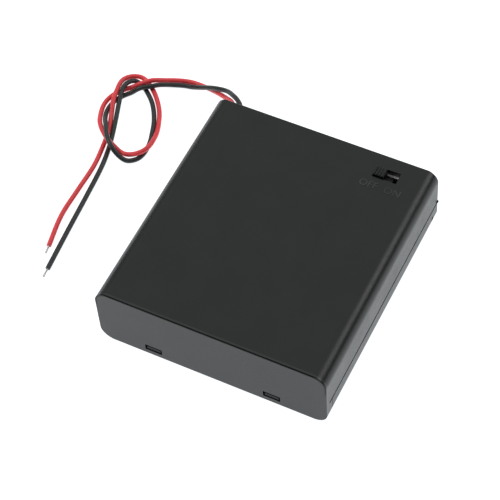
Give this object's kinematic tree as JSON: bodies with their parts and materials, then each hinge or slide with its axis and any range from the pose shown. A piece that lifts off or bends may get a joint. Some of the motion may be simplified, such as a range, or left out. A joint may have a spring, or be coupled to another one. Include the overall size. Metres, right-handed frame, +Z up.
{
  "type": "cylindrical cell holder",
  "caption": "Closed holder for round cells side by side, with a sliding latched cover, a slide switch in the top and two insulated leads.",
  "frame": {"origin": "middle of the cover's outer face, on which the holder lies", "axes": "+X along the front wall towards the switch's side, +Y along the cells from the latch windows to the leads, +Z up from the cover to the switch's face"},
  "size_m": [0.1037, 0.0873, 0.0214],
  "materials": {
    "case_plastic": "black moulded plastic with a fine satin texture",
    "cover_plastic": "black moulded plastic with a fine satin texture",
    "knob_plastic": "black moulded plastic, smooth",
    "switch_can_metal": "bright nickel plating",
    "switch_base_board": "brown laminated board",
    "switch_pin_metal": "silver-plated brass, slightly dull",
    "contact_sheet": "nickel-plated steel sheet",
    "spring_wire": "nickel-plated spring wire",
    "solder": "bright tin solder",
    "red_insulation": "soft red vinyl, satin",
    "black_insulation": "soft black vinyl, satin",
    "tinned_copper": "tinned twisted strands"
  },
  "bodies": {
    "holder": {"housing": "case_plastic", "switch_can": "switch_can_metal", "switch_base": "switch_base_board", "switch_pin_1": "switch_pin_metal", "switch_pin_2": "switch_pin_metal", "switch_pin_3": "switch_pin_metal", "bridge_front_left": "contact_sheet", "bridge_front_right": "contact_sheet", "bridge_back": "contact_sheet", "terminal_minus": "contact_sheet", "terminal_plus": "contact_sheet", "spring_1": "spring_wire", "spring_2": "spring_wire", "spring_3": "spring_wire", "spring_4": "spring_wire", "wire_jumper": "red_insulation", "wire_red_inside": "red_insulation", "wire_black_inside": "black_insulation", "solder_minus": "solder", "solder_plus": "solder", "solder_pin_2": "solder", "solder_pin_3": "solder", "red_lead": "red_insulation", "black_lead": "black_insulation", "red_lead_tip": "tinned_copper", "black_lead_tip": "tinned_copper"},
    "sliding_cover": {"cover": "cover_plastic"},
    "switch_slider": {"switch_knob": "knob_plastic", "switch_wiper": "switch_pin_metal"}
  },
  "joints": [
    {"name": "cover_slide", "type": "slide", "parent": "holder", "child": "sliding_cover", "axis": [0, 1, 0], "range_m": [0, 0.058]},
    {"name": "switch_slide", "type": "slide", "parent": "holder", "child": "switch_slider", "axis": [1, 0, 0], "range_m": [0, 0.0028]}
  ]
}
